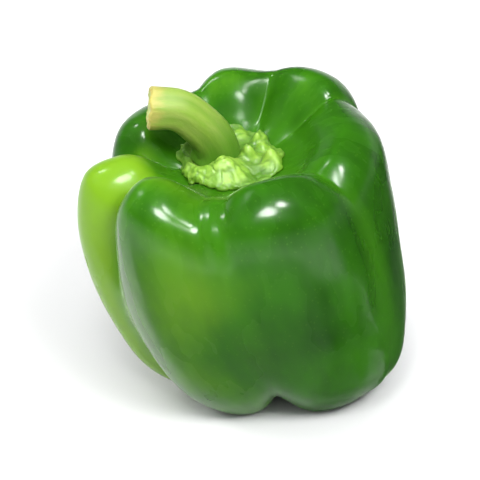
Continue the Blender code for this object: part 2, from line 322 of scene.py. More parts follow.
world = bpy.data.worlds.new("white room")
bpy.context.scene.world = world
world.use_nodes = True
tree = world.node_tree
direction = add(tree, "ShaderNodeTexCoord").outputs["Generated"]
upwards = add(tree, "ShaderNodeSeparateXYZ", {0: direction}).outputs["Z"]
to_bright_side = vector(tree, "DOT_PRODUCT", direction, tuple(BRIGHT_SIDE))
facing = fade(tree, to_bright_side, BRIGHTENS_FROM, 1.0)
band = fade(tree, facing, 0.0, 1.0, BAND_HEIGHT, BRIGHT_BAND_HEIGHT, smooth=False)
share_of_band = number(tree, "DIVIDE", upwards, band)
brightness = fade(tree, share_of_band, 0.0, 1.0, HORIZON_WHITE, UPPER_GREY)
feed(tree, tree.nodes["Background"], {"Color": WHITE, "Strength": brightness})

Lamp = namedtuple("Lamp", "name place width depth power lights mirrored")
LAMPS = (
    Lamp("left front box", (-0.12, -0.66, 1.00), 0.26, 0.30, 5.0, True, False),
    Lamp("right front box", (0.45, -0.60, 0.95), 0.60, 0.34, 14.5, True, False),
    Lamp("side box", (-0.95, 0.10, 0.75), 0.50, 0.50, 7.0, True, False),
    Lamp("ceiling", (-0.20, -0.30, 2.10), 6.00, 6.00, 150.0, True, False),
    Lamp("first window", (0.11, -0.44, 1.18), 0.42, 0.44, 17.0, False, True),
    Lamp("second window", (0.38, -0.11, 1.20), 0.22, 0.22, 5.5, False, True),
    Lamp("back window", (-0.59, 0.50, 0.99), 0.16, 0.30, 3.0, False, True),
)
for lamp in LAMPS:
    light = place_in_scene(lamp.name, bpy.data.lights.new(lamp.name, "AREA"))
    light.data.shape = "ELLIPSE"
    light.data.size = lamp.width
    light.data.size_y = lamp.depth
    light.data.energy = lamp.power
    light.visible_diffuse = lamp.lights
    light.visible_glossy = lamp.mirrored
    light.location = lamp.place
    light.rotation_mode = "QUATERNION"
    light.rotation_quaternion = (CAMERA_AIM - light.location).to_track_quat("-Z", "Y")
bpy.context.scene.view_settings.view_transform = "Standard"
bpy.context.scene.view_settings.exposure = 0.0
print(len(LAMPS), "lamps")

# %% [markdown]
# The form of the fruit
# A pepper is a turned form whose outline changes as it goes round: full over each lobe, drawn in
# at each groove. One meridian, from the seat under the calyx over the rim and down to the blossom
# scar, is written as a short table with a value for a crest and one for a groove. A second table
# says where the grooves run and how deep they cut, and a third how each lobe differs. Reaches and
# heights are shares of the whole fruit's, and angles are degrees round its axis from the right. A
# shape like this could be sculpted, but tables can be measured, changed and repeated.

# %% Write down the meridian, the grooves and the lobes
FRUIT_HEIGHT = 0.0788
FRUIT_REACH = 0.0430
LEAN_LEFT = 0.0150
LEAN_FORWARD = 0.0020
UNTWISTED_SHARE = 0.85
FOOT_FLAT_DEPTH = 0.0007
FOOT_SQUARENESS = 0.18
FRONT_ANGLE = -94.0

Station = namedtuple("Station", "crest_reach crest_height groove_reach groove_height sharpness")
MERIDIAN = (
    Station(0.00, 0.832, 0.00, 0.832, 1.00),  # seat
    Station(0.22, 0.836, 0.22, 0.834, 1.00),  # edge of the seat
    Station(0.42, 0.890, 0.41, 0.845, 0.90),  # inner wall
    Station(0.57, 0.968, 0.54, 0.864, 0.75),  # inside of the rim
    Station(0.73, 1.000, 0.66, 0.866, 0.70),  # rim
    Station(0.93, 0.925, 0.79, 0.810, 0.75),  # shoulder
    Station(1.00, 0.740, 0.90, 0.680, 0.95),  # belly
    Station(0.99, 0.530, 0.92, 0.500, 1.25),  # waist
    Station(0.92, 0.320, 0.85, 0.320, 1.30),  # haunch
    Station(0.78, 0.125, 0.69, 0.170, 1.00),  # heel
    Station(0.56, 0.008, 0.44, 0.105, 0.80),  # outside of the foot
    Station(0.35, 0.004, 0.27, 0.090, 0.80),  # inside of the foot
    Station(0.15, 0.060, 0.12, 0.080, 0.90),  # bottom hollow
    Station(0.00, 0.078, 0.00, 0.078, 1.00),  # blossom scar
)
Groove = namedtuple(
    "Groove", "angle inner_depth rim_depth side_depth foot_depth softness floor twist swirl"
)
GROOVES = (
    Groove(-183.0, 0.80, 0.80, 0.90, 0.90, 1.0, 0.0, 6.0, 0.0),
    Groove(-145.0, 0.90, 0.90, 1.45, 0.15, 1.0, 0.0, -4.0, 0.0),
    Groove(-96.5, 0.46, 0.46, 0.20, 0.80, 1.35, 7.0, 13.0, 0.0),
    Groove(-36.0, 0.42, 0.42, 0.22, 0.10, 1.5, 0.0, 8.0, 6.0),
    Groove(31.0, 0.50, 0.22, 0.42, 0.80, 1.0, 0.0, 8.0, 16.0),
    Groove(67.0, 0.60, 0.12, 0.15, 0.25, 1.4, 0.0, 8.0, 0.0),
    Groove(106.0, 0.45, 0.20, 0.45, 0.90, 2.2, 0.0, 8.0, 0.0),
)
# A lobe's paleness is painted light: the left lobe is painted pale where the bright left side
# lights it.
Lobe = namedtuple("Lobe", "name reach rise rim_reach foot_reach foot_rise paleness")
LOBES = (
    Lobe("left", 1.03, 0.922, 0.93, 0.98, 0.018, 1.00),
    Lobe("front left", 1.04, 0.975, 1.03, 0.87, 0.000, 0.32),
    Lobe("front right", 1.05, 1.000, 1.04, 0.84, 0.000, 0.00),
    Lobe("right", 0.92, 0.996, 1.05, 1.03, 0.000, 0.00),
    Lobe("back right", 1.00, 1.022, 1.12, 0.94, 0.008, 0.10),
    Lobe("back", 0.99, 0.988, 0.99, 0.92, 0.000, 0.20),
    Lobe("back left", 0.79, 0.952, 0.79, 0.82, 0.000, 0.10),
)
VALLEY_WIDTH = 15.0
VALLEY_SHARE = 0.36
SWELL_SAMPLES = 40
RIM_STATION = 4
RIM_SHARE = 0.31
BELLY_SHARE = 0.50
WAIST_SHARE = 0.56
HEEL_SHARE = 0.70
SHARES = np.linspace(0.0, 1.0, len(MERIDIAN))
SHARPNESS = np.array([station.sharpness for station in MERIDIAN])
NEAR_RIM = np.interp(SHARES, (RIM_SHARE, BELLY_SHARE), (1.0, 0.0))
NEAR_FOOT = np.interp(SHARES, (BELLY_SHARE, HEEL_SHARE), (0.0, 1.0))
DEPTH_SHARES = (0.22, RIM_SHARE, BELLY_SHARE, 0.62, 0.80)
SEAT_HEIGHT = FRUIT_HEIGHT * MERIDIAN[0].crest_height
print(len(LOBES), "lobes,", len(MERIDIAN), "stations")

# %% [markdown]
# From the tables to a surface
# Each lobe has a crest line and each groove has a valley line. Between them the surface swells
# out like a cushion between two seams: a hyperbolic tangent rises steeply out of the seam and
# flattens over the crest, and its power says how sharp the seam is. A Catmull-Rom curve through
# the stations gives as many points along the meridian as the mesh needs.


# %% Find the lines of the crests and the grooves
def crest_stations(lobe):
    """A lobe's crest meridian as (distance from the axis, height) at each station."""
    factor = lobe.reach + NEAR_RIM * (lobe.rim_reach - lobe.reach)
    factor += NEAR_FOOT * (lobe.foot_reach - lobe.reach)
    crest = np.array([(station.crest_reach, station.crest_height) for station in MERIDIAN])
    outside = np.clip((WAIST_SHARE - SHARES) / (WAIST_SHARE - RIM_SHARE), 0.0, 1.0)
    lift = (lobe.rise - 1) * np.where(SHARES < RIM_SHARE, SHARES / RIM_SHARE, outside)
    lift += lobe.foot_rise * NEAR_FOOT * np.minimum(1.0, 2 * crest[:, 0])
    reach, height = FRUIT_REACH * crest[:, 0] * factor, FRUIT_HEIGHT * (crest[:, 1] + lift)
    return np.stack((reach, height), axis=1)


def groove_stations(index):
    """The meridian along the bottom of a groove, cut from the mean of the lobes beside it."""
    inner, rim, side, foot = GROOVES[index][1:5]
    depth = np.interp(SHARES, DEPTH_SHARES, (inner, rim, side, side, foot))
    beside = (crest_stations(LOBES[index - 1]) + crest_stations(LOBES[index])) / 2
    crest, groove = np.array(MERIDIAN)[:, 0:2], np.array(MERIDIAN)[:, 2:4]
    return beside + depth[:, None] * (groove - crest) * (FRUIT_REACH, FRUIT_HEIGHT)


def lobe_width(index):
    """The angle between a lobe's two grooves, in degrees."""
    return (GROOVES[(index + 1) % len(GROOVES)].angle - GROOVES[index].angle) % 360


def swell(index, past, left):
    """How far a lobe has swelled from its grooves towards its crest, at each station."""
    following = (index + 1) % len(GROOVES)
    width = min(VALLEY_WIDTH, VALLEY_SHARE * (past + left))
    swelled = 1.0
    for groove, away in ((GROOVES[index], past), (GROOVES[following], left)):
        out = np.maximum(away - groove.floor * NEAR_RIM, 0.0) / width
        swelled = swelled * np.tanh(out) ** (SHARPNESS * groove.softness)
    return swelled


def fullest(index):
    """The most that a lobe swells anywhere across it, at each station."""
    width = lobe_width(index)
    samples = [width * k / SWELL_SAMPLES for k in range(SWELL_SAMPLES + 1)]
    return np.max([swell(index, past, width - past) for past in samples], axis=0)


CREST_LINES = [crest_stations(lobe) for lobe in LOBES]
GROOVE_LINES = [groove_stations(index) for index in range(len(GROOVES))]
FULLEST = [fullest(index) for index in range(len(LOBES))]
print("widest crest", round(max(line[:, 0].max() for line in CREST_LINES) * 1000, 1), "mm")


# %% Find the surface at any angle
def lobe_at(angle):
    """The lobe that an angle in degrees falls in, and how far it is from the lobe's two grooves."""
    for index, groove in enumerate(GROOVES):
        past = (angle - groove.angle) % 360
        if past < lobe_width(index):
            return index, past, lobe_width(index) - past
    raise ValueError(f"no lobe holds {angle} degrees")


def meridian(angle):
    """The stations of the meridian at an angle, and how much each is swelled, from 0 to 1."""
    index, past, left = lobe_at(angle)
    across = past / (past + left)
    valley = GROOVE_LINES[index] * (1 - across)
    valley += GROOVE_LINES[(index + 1) % len(GROOVES)] * across
    share = swell(index, past, left) / FULLEST[index]
    line = valley + share[:, None] * (CREST_LINES[index] - valley)
    corner = (1 - math.cos(4 * math.radians(angle - FRONT_ANGLE))) / 2
    line[:, 0] *= 1 + FOOT_SQUARENESS * corner * NEAR_FOOT
    return line, share


def spline(points, shares):
    """Points at shares, from 0 to 1, of a Catmull-Rom curve through points."""
    points = np.asarray(points, float)
    padded = np.vstack((2 * points[0] - points[1], points, 2 * points[-1] - points[-2]))
    spans = len(points) - 1
    index = np.minimum((np.asarray(shares) * spans).astype(int), spans - 1)
    t = (np.asarray(shares) * spans - index)[..., None]
    before, start, end, after = (padded[index + k] for k in range(4))
    bend = (2 * before - 5 * start + 4 * end - after) * t**2
    bend += (3 * start - before - 3 * end + after) * t**3
    return 0.5 * (2 * start + (end - before) * t + bend)


def across_grooves(values, angle):
    """A value at an angle, in degrees, between those that the grooves beside it have."""
    return np.interp(angle, [groove.angle for groove in GROOVES], values, period=360)


def stand(places):
    """Points of the upright fruit, moved to where its twist, swirl, lean and flat feet put them."""
    x, y, height = np.moveaxis(np.asarray(places, float), -1, 0)
    share = height / FRUIT_HEIGHT
    angle = np.degrees(np.arctan2(y, x))
    twist = across_grooves([groove.twist for groove in GROOVES], angle)
    swirl = across_grooves([groove.swirl for groove in GROOVES], angle)
    rim_reach = FRUIT_REACH * MERIDIAN[RIM_STATION].crest_reach
    inside_rim = np.maximum(0.0, 1 - np.hypot(x, y) / rim_reach)
    in_hollow = inside_rim * np.clip(2 * share - 1, 0.0, 1.0)
    turn = np.radians(twist * (UNTWISTED_SHARE - share) + swirl * in_hollow)
    return np.stack(
        (
            x * np.cos(turn) - y * np.sin(turn) - LEAN_LEFT * (share - 0.5),
            x * np.sin(turn) + y * np.cos(turn) - LEAN_FORWARD * (share - 0.5),
            np.maximum(height - FOOT_FLAT_DEPTH, 0.0),
        ),
        axis=-1,
    )


print("rim at the front left", np.round(meridian(-115.0)[0][RIM_STATION] * 1000, 1), "mm")

# %% [markdown]
# The mesh of the fruit
# The mesh is a grid of rings: one ring for each step along the meridian, with a point at the seat
# and one at the scar. The columns are spaced evenly inside each lobe, so that one of them runs
# along each groove and the seams stay crisp. Four numbers travel with the points for later use:
# how deep in a fold a point lies, how far along the meridian it is, how pale the flesh is painted
# there, and how much wax lies on it. The paleness comes from the lobe, the wall of the hollow and a
# few soft patches. It holds painted light and shade: the left lobe's paleness is painted light from
# the bright left side, the pale patches paint light and the white table's reflection on the front,
# and the dark ones paint shade in its middle and on the right side. The wax is thin in the hollow
# and where it has been rubbed. A fifth attribute, grain, winds the surface round a unit cylinder,
# so that a pattern can follow the skin from top to bottom with no seam.


# %% Build a closed mesh from rings
def ring_mesh(name, rings, first, last):
    """A closed mesh from rings of points, with a point at each end. Faces look outwards."""
    count, columns = len(rings), len(rings[0])
    points = [first, *np.asarray(rings).reshape(-1, 3), last]
    start = 1 + np.arange(count)[:, None] * columns + np.arange(columns)
    after = np.roll(start, -1, axis=1)
    quads = np.stack((start[:-1], start[1:], after[1:], after[:-1]), axis=-1).reshape(-1, 4)
    faces = [tuple(quad) for quad in quads.tolist()]
    faces += [(0, a, b) for a, b in zip(start[0].tolist(), after[0].tolist())]
    faces += [(len(points) - 1, b, a) for a, b in zip(start[-1].tolist(), after[-1].tolist())]
    mesh = bpy.data.meshes.new(name)
    mesh.from_pydata([tuple(point) for point in points], [], faces)
    mesh.shade_smooth()
    return place_in_scene(name, mesh)


def store(obj, name, rings, first, last, kind="FLOAT"):
    """Stores a value for each point of a ring mesh."""
    values = np.asarray(rings, np.float32)
    flat = values.reshape(-1) if kind == "FLOAT" else values.reshape(-1, 3)
    flat = np.concatenate((np.array([first], np.float32), flat, np.array([last], np.float32)))
    stored = obj.data.attributes.new(name, kind, "POINT")
    stored.data.foreach_set("value" if kind == "FLOAT" else "vector", flat.reshape(-1))


def grain_round(turns, lengthways):
    """Places on a cylinder, for each ring and each turn, that carry the grain of a surface."""
    shape = lengthways.shape
    across = (np.broadcast_to(np.cos(turns), shape), np.broadcast_to(np.sin(turns), shape))
    return np.stack((*across, lengthways), axis=-1)


print("helpers for meshes ready")

# %% Build the fruit
COLUMN_STEP = 1.0
MERIDIAN_STEPS = 150
GRAIN_LENGTH = 1.6


def column_angles(index):
    """The angles of a lobe's columns, spaced evenly from its groove to the next."""
    count = round(lobe_width(index) / COLUMN_STEP)
    return GROOVES[index].angle + np.arange(count) * lobe_width(index) / count


angles = np.concatenate([column_angles(index) for index in range(len(LOBES))])
shares = np.arange(1, MERIDIAN_STEPS) / MERIDIAN_STEPS
lines, folds = [], []
for angle in angles:
    line, share = meridian(angle)
    lines.append(spline(line, shares))
    folds.append(1 - np.interp(shares, SHARES, share))
lines, folds = np.array(lines), np.array(folds).T
turns = np.radians(angles)
reach, height = lines[..., 0].T, lines[..., 1].T
rings = stand(np.stack((reach * np.cos(turns), reach * np.sin(turns), height), axis=-1))
seat = stand((0.0, 0.0, SEAT_HEIGHT))
scar = stand((0.0, 0.0, FRUIT_HEIGHT * MERIDIAN[-1].crest_height))

low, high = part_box("fruit")
outline_low, outline_high = rings.min(axis=(0, 1)), rings.max(axis=(0, 1))
CENTRING = (np.array(low) + np.array(high) - outline_low - outline_high) / 2
CENTRING[2] = 0.0
fruit = ring_mesh("pepper_fruit", rings + CENTRING, seat + CENTRING, scar + CENTRING)
print(len(fruit.data.polygons), "faces, moved by", np.round(CENTRING * 1000, 2), "mm")

# %% Give the fruit its attributes
Patch = namedtuple("Patch", "place width strength")
# Painted light and painted shade: the pale patches paint light and the white table's reflection on
# the front of the fruit, and the two dark ones paint shade in the middle and on the right side.
PAINTED_LIGHT_AND_SHADE_PATCHES = (
    Patch((-0.0180, -0.0390, 0.0460), 0.0190, 0.28),  # front left lobe
    Patch((0.0010, -0.0410, 0.0530), 0.0130, 0.44),  # under the front dent
    Patch((-0.0090, -0.0340, 0.0190), 0.0110, 0.18),  # low at the left
    Patch((0.0080, -0.0400, 0.0370), 0.0150, -0.46),  # dark middle
    Patch((0.0230, -0.0320, 0.0220), 0.0120, 0.22),  # low at the right
    Patch((0.0300, -0.0280, 0.0450), 0.0120, 0.24),  # front right lobe
    Patch((0.0400, -0.0150, 0.0420), 0.0110, -0.50),  # dark right side
)
WAX_PATCHES = (
    Patch((-0.0225, 0.0060, 0.0705), 0.0110, 1.00),  # waxy left wall of the hollow
    Patch((-0.0010, 0.0229, 0.0737), 0.0024, 0.50),  # spots on its back wall
    Patch((0.0038, 0.0187, 0.0680), 0.0026, 0.60),
    Patch((0.0219, 0.0172, 0.0774), 0.0026, 0.45),
    Patch((-0.0172, -0.0350, 0.0711), 0.0030, -0.90),  # rubbed tops of the front lobes
    Patch((-0.0262, -0.0286, 0.0750), 0.0034, -0.85),
    Patch((0.0008, -0.0323, 0.0765), 0.0034, -0.85),
)
# Degrees from a groove, and then shares of the meridian, between which colour and wax change.
PLATEAU_EDGE = 7.0
PALE_FROM = (0.20, 0.30)
INNER_WALL = (0.08, 0.16, 0.26, 0.33)
WAXY_FROM = (0.25, 0.33)
HOLLOW_PALENESS = 0.10
INNER_WALL_PALENESS = 0.28
HOLLOW_WAX = 0.06


def along_rings(at_shares, values):
    """A value for each ring, between those that are given at some shares of the meridian."""
    return np.interp(shares, at_shares, values)[:, None]


def patched(values, patches):
    """Values for the rings of the fruit, with each patch's strength added round its place."""
    for patch in patches:
        away = np.linalg.norm(rings + CENTRING - np.array(patch.place), axis=-1)
        values = values + patch.strength * np.exp(-((away / patch.width) ** 2))
    return values


pale_angles, pale_values = [], []
for index, lobe in enumerate(LOBES):
    for edge in (PLATEAU_EDGE, lobe_width(index) - PLATEAU_EDGE):
        pale_angles.append(GROOVES[index].angle + edge)
        pale_values.append(lobe.paleness)
paleness = np.broadcast_to(np.interp(angles, pale_angles, pale_values, period=360), folds.shape)
past_rim = along_rings(PALE_FROM, (HOLLOW_PALENESS, 1.0))
inner_wall = along_rings(INNER_WALL, (0.0, 1.0, 1.0, 0.0))
paleness = patched(paleness * past_rim + INNER_WALL_PALENESS * inner_wall, PAINTED_LIGHT_AND_SHADE_PATCHES)
wax = patched(along_rings(WAXY_FROM, (HOLLOW_WAX, 1.0)), WAX_PATCHES)
along = np.repeat(shares[:, None], len(angles), axis=1)
grain = grain_round(turns, along * GRAIN_LENGTH)
store(fruit, "wax", np.clip(wax, 0.0, 1.0), HOLLOW_WAX, 1.0)
store(fruit, "fold", folds, 0.0, 0.0)
store(fruit, "along", along, 0.0, 1.0)
store(fruit, "paleness", paleness, 0.0, 0.0)
store(fruit, "grain", grain, (0, 0, 0), (0, 0, GRAIN_LENGTH), "FLOAT_VECTOR")
print("deepest fold", round(float(folds.max()), 2))

# %% [markdown]
# Uneven growth
# No lobe is a perfect cushion. The flesh grows a little faster here and there, which leaves long
# shallow swellings that run from top to bottom, and they are what breaks the highlights into
# wavy pieces. Noise on the grain attribute gives them, and Geometry Nodes push each point out
# along its normal. They fade out at the feet, which stay flat on the table, and in the hollow,
# where the flesh is drawn tight. The tree has named inputs, so that it could dress another fruit.


# %% Make the helpers for Geometry Nodes
def read_value(tree, name, kind="FLOAT"):
    """A value that is stored on the geometry."""
    node = add(tree, "GeometryNodeInputNamedAttribute", {"Name": name}, data_type=kind)
    return node.outputs["Attribute"]


def keep_value(tree, geometry, name, value, kind="FLOAT"):
    """The geometry with a value stored on its points."""
    inputs = {"Geometry": geometry, "Name": name, "Value": value}
    settings = {"data_type": kind, "domain": "POINT"}
    return add(tree, "GeometryNodeStoreNamedAttribute", inputs, **settings).outputs[0]


def own_place(tree):
    """The three coordinates of each point."""
    position = add(tree, "GeometryNodeInputPosition").outputs[0]
    return add(tree, "ShaderNodeSeparateXYZ", {0: position}).outputs


def push_out(tree, geometry, depth):
    """The geometry with each point moved along its normal."""
    offset = vector(tree, "SCALE", add(tree, "GeometryNodeInputNormal").outputs[0], depth)
    return add(tree, "GeometryNodeSetPosition", {"Geometry": geometry, "Offset": offset}).outputs[0]


def finish_tree(tree, geometry, material, made):
    """Ends a tree: real faces, dressed in a material."""
    solid = add(tree, "GeometryNodeRealizeInstances", {"Geometry": geometry}).outputs[0]
    inputs = {"Geometry": solid, "Material": material}
    dressed = add(tree, "GeometryNodeSetMaterial", inputs)
    tree.links.new(dressed.outputs[0], made["Geometry"])


def settle(obj, tree, values):
    """Runs a Geometry Nodes tree on an object and keeps the result as its plain mesh."""
    modifier = obj.modifiers.new(tree.name, "NODES")
    modifier.node_group = tree
    for item in tree.interface.items_tree:
        if item.in_out == "INPUT" and item.name in values:
            modifier[item.identifier] = values[item.name]
    graph = bpy.context.evaluated_depsgraph_get()
    result = bpy.data.meshes.new_from_object(
        obj.evaluated_get(graph), preserve_all_data_layers=True, depsgraph=graph
    )
    obj.modifiers.remove(modifier)
    obj.data = result


print("helpers for Geometry Nodes ready")

# %% Push the skin in and out
FLAT_FEET = 0.0002
SWELLED_FROM = 0.006
HOLLOW_ENDS = (0.22, 0.33)
HOLLOW_SWELLING = 0.10

relief, given, made = group(
    "uneven growth",
    "GeometryNodeTree",
    {
        "Geometry": (SHAPE, None),
        "Swelling": (NUMBER, 0.0003),
        "Rippling": (NUMBER, 0.00008),
        "Seed": (NUMBER, 0.0),
        "Skin": (FINISH, None),
    },
    {"Geometry": (SHAPE, None)},
)
grain_place = read_value(relief, "grain", "FLOAT_VECTOR")
long_swell = centred_noise(relief, grain_place, given["Seed"], scale=2.6)
ripple = centred_noise(relief, grain_place, given["Seed"], scale=9.0, detail=2.0)
depth = number(relief, "MULTIPLY", long_swell, given["Swelling"])
depth = number(relief, "MULTIPLY_ADD", ripple, given["Rippling"], depth)
off_table = fade(relief, own_place(relief)["Z"], FLAT_FEET, SWELLED_FROM)
along_in = read_value(relief, "along")
off_hollow = fade(relief, along_in, *HOLLOW_ENDS, start=HOLLOW_SWELLING)
depth = product(relief, depth, off_table, off_hollow)
finish_tree(relief, push_out(relief, given["Geometry"], depth), given["Skin"], made)
print(len(relief.nodes), "nodes in the relief tree")

# %% [markdown]
# Shared shader effects
# Mottling serves all three finishes of the pepper, so it is a node group made once: it mixes large
# soft patches with streaks that follow the grain, because chlorophyll is never even. Pores are a
# group too, so that their spacing and size stay two plain inputs: small pale dots, one in each
# cell of a Voronoi pattern, like the faint specks that a waxy skin shows up close.

# %% Make the mottling and the pores
PORE_SOFTNESS = 1.8

mottling, given, made = group(
    "mottling",
    "ShaderNodeTree",
    {
        "Place": (PLACE, None),
        "Grain": (PLACE, None),
        "Patch scale": (NUMBER, 40.0),
        "Streak scale": (NUMBER, 12.0),
        "Streak share": (NUMBER, 0.5),
    },
    {"Mask": (NUMBER, None)},
)
patches = noise(mottling, given["Place"], given["Patch scale"], detail=3.0, roughness=0.55)
streaks = noise(mottling, given["Grain"], given["Streak scale"], detail=3.0, roughness=0.6)
both = mix(mottling, given["Streak share"], patches, streaks, "FLOAT")
mottling.links.new(fade(mottling, both, 0.32, 0.68), made["Mask"])

pores, given, made = group(
    "pores",
    "ShaderNodeTree",
    {"Place": (PLACE, None), "Scale": (NUMBER, 700.0), "Size": (NUMBER, 0.12)},
    {"Mask": (NUMBER, None)},
)
cells = add(pores, "ShaderNodeTexVoronoi", {"Vector": given["Place"], "Scale": given["Scale"]})
edge = number(pores, "MULTIPLY", given["Size"], PORE_SOFTNESS)
pores.links.new(fade(pores, cells.outputs["Distance"], edge, given["Size"]), made["Mask"])


def use(tree, effect, inputs):
    """Places a shared effect in a material with its own values."""
    node = add(tree, "ShaderNodeGroup", node_tree=effect)
    feed(tree, node, inputs)
    return node.outputs["Mask"]


def mottled(tree, place, patch_scale, streak_scale, streak_share):
    """The mottling for one material."""
    inputs = {
        "Place": place,
        "Grain": attribute(tree, "grain", "Vector"),
        "Patch scale": patch_scale,
        "Streak scale": streak_scale,
        "Streak share": streak_share,
    }
    return use(tree, mottling, inputs)


def bumped(tree, height, strength, distance):
    """Normals that a fine relief has turned."""
    inputs = {"Height": height, "Strength": strength, "Distance": distance}
    return add(tree, "ShaderNodeBump", inputs).outputs["Normal"]


print("shared effects ready")

# %% [markdown]
# The skin
# The skin is a deep green under clear wax. The wax is a coat on the shader, nearly smooth, and
# the skin below it is a little rougher, which gives each highlight a bright core and a soft edge.
# The coat is thinner in the hollow, over the pale left lobe and where the wax is rubbed, and a
# little sheen pales the rims, as bloom does. The green turns yellow in the folds and in the hollow
# by the calyx. The left lobe is painted a pale yellow-green, which is painted light from the bright
# left side, and soft patches paint light and shade on the front and the right. Colours are linear
# values.

# %% Make the skin
DEEP_GREEN = (0.008, 0.047, 0.002, 1.0)
LEAF_GREEN = (0.024, 0.128, 0.002, 1.0)
# The pale yellow-green is painted light from the bright left side, mostly on the left lobe.
PAINTED_LIGHT_PALE_GREEN = (0.142, 0.285, 0.010, 1.0)
FOLD_GREEN = (0.036, 0.150, 0.004, 1.0)
PORE_GREEN = (0.120, 0.280, 0.030, 1.0)
SCAR_BROWN = (0.300, 0.190, 0.085, 1.0)

skin, tree, shader = new_finish("waxy green skin")
place = add(tree, "ShaderNodeTexCoord").outputs["Object"]
along_here = attribute(tree, "along")
fold_here = attribute(tree, "fold")
# The paleness read here holds painted light and shade from the lobes and the patches, and it
# lightens or deepens the green below.
pale_and_painted_here = attribute(tree, "paleness")
mottle = mottled(tree, place, patch_scale=22.0, streak_scale=3.0, streak_share=0.45)
leafiness_and_painted_light = number(tree, "MULTIPLY_ADD", pale_and_painted_here, 0.9, number(tree, "MULTIPLY", mottle, 0.8))
green = mix(tree, fade(tree, leafiness_and_painted_light, 0.0, 0.9, smooth=False), DEEP_GREEN, LEAF_GREEN)
pale_edge_and_painted_light = number(tree, "MULTIPLY_ADD", mottle, 0.25, pale_and_painted_here)
green = mix(tree, fade(tree, pale_edge_and_painted_light, 0.35, 1.2, end=0.9), green, PAINTED_LIGHT_PALE_GREEN)
above_haunch = fade(tree, along_here, 0.75, 0.5)
in_fold = product(tree, fade(tree, fold_here, 0.55, 1.0), above_haunch, 0.35)
green = mix(tree, in_fold, green, FOLD_GREEN)
by_calyx = fade(tree, along_here, 0.24, 0.08, end=0.55)
green = mix(tree, by_calyx, green, FOLD_GREEN)
pore = use(tree, pores, {"Place": place, "Scale": 620.0, "Size": 0.11})
green = mix(tree, number(tree, "MULTIPLY", pore, 0.12), green, PORE_GREEN)
green = mix(tree, fade(tree, along_here, 0.982, 0.992), green, SCAR_BROWN)
lobe_wax = fade(tree, pale_and_painted_here, 0.70, 0.98, start=0.60, end=0.35)
peel = bumped(tree, noise(tree, place, scale=420.0), strength=0.06, distance=0.0004)
feed(
    tree,
    shader,
    {
        "Base Color": green,
        "Roughness": fade(tree, mottle, 0.0, 1.0, start=0.24, end=0.33),
        "IOR": 1.45,
        "Specular IOR Level": 0.10,
        "Coat Weight": number(tree, "MULTIPLY", lobe_wax, attribute(tree, "wax")),
        "Coat Roughness": 0.16,
        "Sheen Weight": 0.50,
        "Sheen Roughness": 0.12,
        "Sheen Tint": (0.80, 1.00, 0.70, 1.0),
        "Subsurface Weight": 0.08,
        "Subsurface Radius": (0.6, 1.0, 0.15),
        "Subsurface Scale": 0.004,
        "Normal": peel,
    },
)
settle(fruit, relief, {"Swelling": 0.00035, "Rippling": 0.00010, "Seed": 4.0, "Skin": skin})
print("fruit", [round(side * 1000, 1) for side in fruit.dimensions], "mm")

# %% [markdown]
# The calyx
# The calyx is the green cap that held the flower: a few sepals joined into a fleshy disc, thick
# round the stem and crinkled at the edge. It lies in the hollow, so its underside follows the
# fruit. Like the measured model, the mesh starts from a table of swellings, one for each main
# fold or curled sepal, but it has more rings. Geometry Nodes then raise small lumps on the top
# with soft noise, and cut creases where another noise crosses its middle value.

# %% Write down the calyx
CALYX_PLACE = np.array((-0.0044, 0.0020))
CALYX_RADIUS = 0.0128
CALYX_WIDER = 0.0046
SEPAL_TIPS = 6
SEPAL_TIP = 0.0011
TIP_BLUNTNESS = 0.7
TIP_PHASE = 0.5
MARGIN_THICKNESS = 0.0008
BOSS_RADIUS = 0.0077
BOSS_HEIGHT = 0.0033
BOSS_STEEPNESS = 1.5
VEINS = 13
VEIN_HEIGHT = 0.0002
VEIN_PHASE = 1.3
CLEAR_OF_STEM = 0.0050
SWELLING_RUN_IN = 0.0020
BULKY_SWELLING = 0.004
CALYX_GAP = 0.0001
CALYX_COLUMNS = 288
CALYX_RINGS = 44

Swelling = namedtuple("Swelling", "angle reach width rise")
SWELLINGS = (
    Swelling(-65.0, 0.0088, 0.0040, 0.0040),  # fold in front of the stem
    Swelling(-92.0, 0.0104, 0.0024, 0.0012),
    Swelling(-117.0, 0.0098, 0.0026, 0.0020),
    Swelling(-140.0, 0.0088, 0.0020, 0.0012),
    Swelling(-7.0, 0.0100, 0.0018, 0.0042),  # ridge beside the stem
    Swelling(-12.0, 0.0158, 0.0027, 0.0046),  # curled sepal
    Swelling(12.0, 0.0142, 0.0018, 0.0022),
    Swelling(30.0, 0.0148, 0.0018, 0.0026),
    Swelling(55.0, 0.0120, 0.0022, 0.0016),
    Swelling(95.0, 0.0100, 0.0020, 0.0010),
)
CRINKLES = ((0.00035, 17, 0.6), (0.00030, 11, 0.0), (0.00012, 41, 1.0))  # size, count, phase
HOLLOW_STEP = 1.5
HOLLOW_SAMPLES = 60
HOLLOW_ANGLES = np.arange(-180.0, 181.0, HOLLOW_STEP)
hollow_shares = np.linspace(0, RIM_SHARE, HOLLOW_SAMPLES)
HOLLOW_LINES = [spline(meridian(angle)[0], hollow_shares) for angle in HOLLOW_ANGLES]


def hollow_height(x, y):
    """The upright fruit's height in the hollow round the stem, above a point (x, y)."""
    angle = math.degrees(math.atan2(y, x))
    reach = math.hypot(x, y)
    after = min(int((angle + 180.0) / HOLLOW_STEP) + 1, len(HOLLOW_ANGLES) - 1)
    heights = [np.interp(reach, *HOLLOW_LINES[k].T) for k in (after - 1, after)]
    share = (angle - HOLLOW_ANGLES[after - 1]) / HOLLOW_STEP
    return heights[0] * (1 - share) + heights[1] * share


